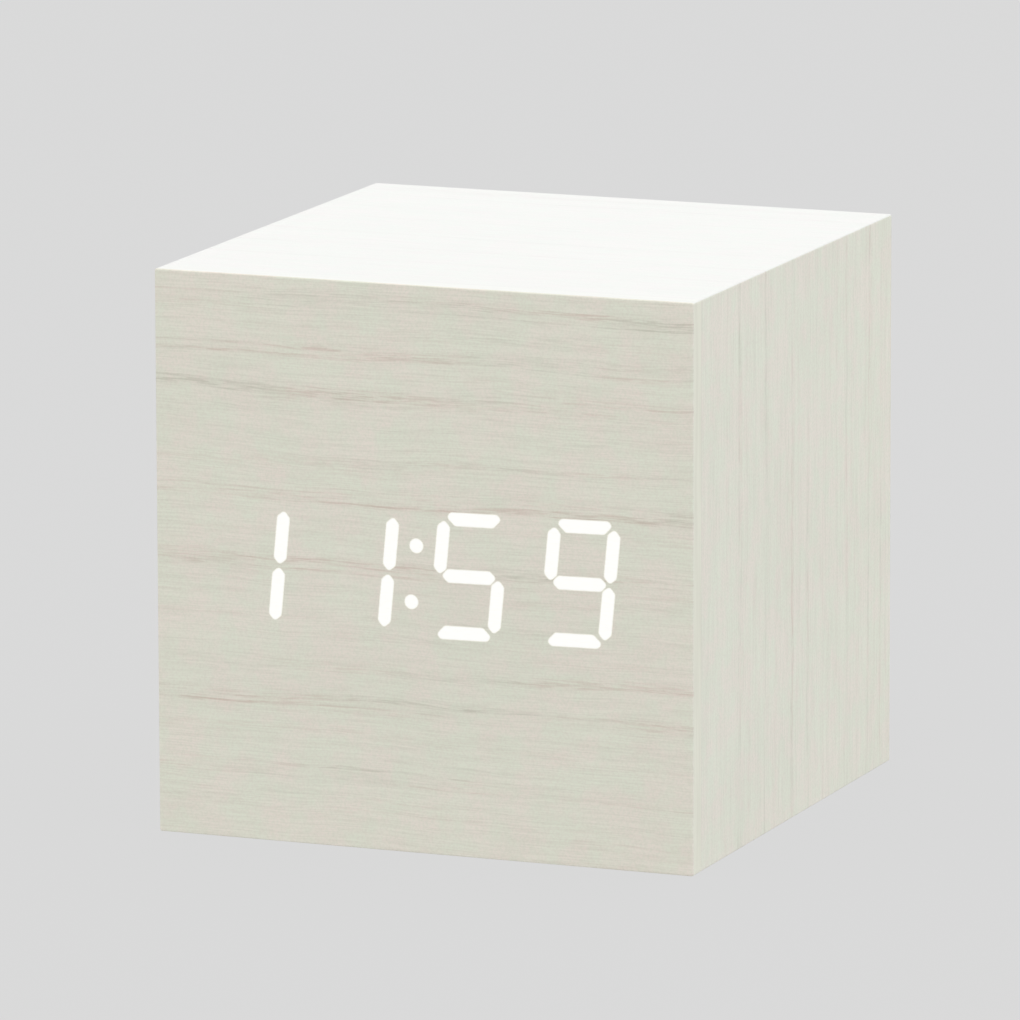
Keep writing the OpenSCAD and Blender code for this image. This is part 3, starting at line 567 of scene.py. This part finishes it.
def pierced_face(bm, outer, y, holes):
    """A face at y between the ring outer and the holes; gives the rings of vertices round the holes."""
    loops = [[(v.co.x, v.co.z) for v in outer]] + holes
    points = [Vector(point) for loop in loops for point in loop]
    edges = []
    for loop in loops:
        start = len(edges)
        edges += [(start + i, start + (i + 1) % len(loop)) for i in range(len(loop))]
    found, _, faces, _, _, _ = delaunay_2d_cdt(points, edges, [], 1, 1e-9)
    corners = list(outer) + [bm.verts.new((p.x, y, p.y)) for p in found[len(outer):]]
    for face in faces:
        x = sum(found[i].x for i in face) / len(face)
        z = sum(found[i].y for i in face) / len(face)
        if not any(inside(x, z, hole) for hole in holes):
            bm.faces.new([corners[i] for i in face])
    rings = []
    start = len(outer)
    for hole in holes:
        rings.append(corners[start:start + len(hole)])
        start += len(hole)
    return rings


def sheet_with_holes(outline_rings, holes, name, material):
    """A sheet with holes; outline_rings are (loop, y) from the back face's edge to the front face's."""
    bm = bmesh.new()
    rings = [[bm.verts.new((x, y, z)) for x, z in loop] for loop, y in outline_rings]
    for first, second in zip(rings, rings[1:]):
        bridge(bm, first, second)
    front, back = (pierced_face(bm, rings[end], outline_rings[end][1], holes) for end in (-1, 0))
    for first, second in zip(front, back):
        bridge(bm, first, second)
    return finished(bm, name, material)


def film_rings():
    """The front film's outline: straight from the back face, then round to the front face."""
    half_w = (film_high.x - film_low.x) / 2
    half_h = (film_high.z - film_low.z) / 2
    rings = [(rounded_rectangle(half_w, half_h, FILM_CORNER, CORNER_STEPS), film_high.y)]
    for k in range(ROUND_STEPS + 1):
        angle = math.radians(90 * k / ROUND_STEPS)
        inset = FILM_ROUND * (1 - math.cos(angle))
        loop = rounded_rectangle(half_w - inset, half_h - inset, FILM_CORNER, CORNER_STEPS)
        rings.append((loop, film_low.y + FILM_ROUND * (1 - math.sin(angle))))
    return rings


def make_bars(bars):
    """The lit bars, as deep as the film."""
    bm = bmesh.new()
    for bar in bars:
        front, back = ([bm.verts.new((x, y, z)) for x, z in bar] for y in (film_low.y, film_high.y))
        bm.faces.new(front)
        bm.faces.new(back[::-1])
        bridge(bm, front, back)
    finished(bm, "lit_bars", "lit_bar")


def make_glow(bars, glows):
    """The fainter border round each bar, as deep as the film."""
    front, back = film_low.y, film_high.y
    bm = bmesh.new()
    for bar, glow in zip(bars, glows):
        sides = [(bar, front), (glow, front), (glow, back), (bar, back)]
        rings = [[bm.verts.new((x, y, z)) for x, z in loop] for loop, y in sides]
        for first, second in zip(rings, rings[1:] + rings[:1]):
            bridge(bm, first, second)
    finished(bm, "bar_glow", "bar_glow")


def make_front():
    """The front film with its round edges, and the lit bars and their glow let into it flush."""
    lenses = [turned(loop) for loop in front_loops(nodes["lit_lenses"])]
    bars = [rounded(grown(loop, BAR_SPREAD), BAR_CORNER) for loop in lenses]
    glows = [rounded(grown(loop, GLOW_SPREAD), BAR_CORNER) for loop in lenses]
    film = sheet_with_holes(film_rings(), glows, "front_film_sheet", "front_film")
    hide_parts("front_film")
    make_bars(bars)
    make_glow(bars, glows)


def make_floor():
    """A pale light table that curves up all round, so that no horizon shows."""
    bm = bmesh.new()
    angles = [math.tau * i / FLOOR_SIDES for i in range(FLOOR_SIDES)]
    circle = [(math.cos(angle), math.sin(angle)) for angle in angles]
    rings = []
    for k in range(FLOOR_STEPS + 1):
        share = k / FLOOR_STEPS
        radius = FLOOR_FLAT + FLOOR_CURVE * share
        height = FLOOR_RISE * share ** 2
        rings.append([bm.verts.new((radius * x, radius * y, height)) for x, y in circle])
    bm.faces.new(rings[0])
    for first, second in zip(rings, rings[1:]):
        bridge(bm, first, second)
    bmesh.ops.recalc_face_normals(bm, faces=bm.faces)
    mesh = bpy.data.meshes.new("floor")
    bm.to_mesh(mesh)
    bm.free()
    floor = bpy.data.objects.new("floor", mesh)
    bpy.context.scene.collection.objects.link(floor)
    g = Graph("floor")
    g.set("Base Color", (0.03, 0.03, 0.03))
    g.set("Roughness", 1.0)
    g.set("Specular IOR Level", 0.0)
    g.shader.inputs["Emission Color"].default_value = (1.0, 1.0, 1.0, 1.0)
    g.shader.inputs["Emission Strength"].default_value = FLOOR_GLOW
    mesh.materials.append(g.material)


def soft_light(name, power, size, place, colour=(1.0, 1.0, 1.0)):
    """A square soft light that faces the object."""
    lamp = bpy.data.lights.new(name, "AREA")
    lamp.energy = power
    lamp.size = size
    lamp.color = colour
    light = bpy.data.objects.new(name, lamp)
    light.location = place
    light.rotation_euler = (Vector(place) - middle).to_track_quat("Z", "Y").to_euler()
    bpy.context.scene.collection.objects.link(light)


def make_lights():
    """An even white room, a broad soft light overhead and a cool one on the right."""
    world = bpy.data.worlds.new("studio")
    bpy.context.scene.world = world
    world.use_nodes = True
    background = world.node_tree.nodes["Background"]
    background.inputs["Color"].default_value = (1.0, 1.0, 1.0, 1.0)
    background.inputs["Strength"].default_value = SKY_STRENGTH
    soft_light("overhead", OVERHEAD_POWER, 1.2, (0.1, 0.1, 1.0))
    soft_light("side", SIDE_POWER, 0.8, (1.3, 0.2, 0.35), (0.55, 0.75, 1.0))


def make_camera():
    """The camera at the photograph's angle, looking past a point beside the middle."""
    back = Vector((
        math.sin(AZIMUTH) * math.cos(ELEVATION),
        -math.cos(AZIMUTH) * math.cos(ELEVATION),
        math.sin(ELEVATION),
    ))
    right = Vector((math.cos(AZIMUTH), math.sin(AZIMUTH), 0.0))
    up = back.cross(right)
    lens = bpy.data.cameras.new("camera")
    lens.lens = LENS
    lens.sensor_width = 36.0
    lens.clip_start = 0.01
    lens.clip_end = 20.0
    camera = bpy.data.objects.new("camera", lens)
    camera.location = middle + back * DISTANCE - right * AIM_LEFT + up * AIM_UP
    rolled = Matrix.Rotation(ROLL, 3, back)
    camera.rotation_euler = Matrix((rolled @ right, rolled @ up, back)).transposed().to_euler()
    bpy.context.scene.collection.objects.link(camera)
    bpy.context.scene.camera = camera


bpy.context.scene.view_settings.view_transform = "Standard"
make_camera()
make_lights()
make_floor()
for name, obj in nodes.items():
    dress(obj, slots[name])
for name, width in SOFT_EDGES.items():
    soften(nodes[name], width)
make_front()
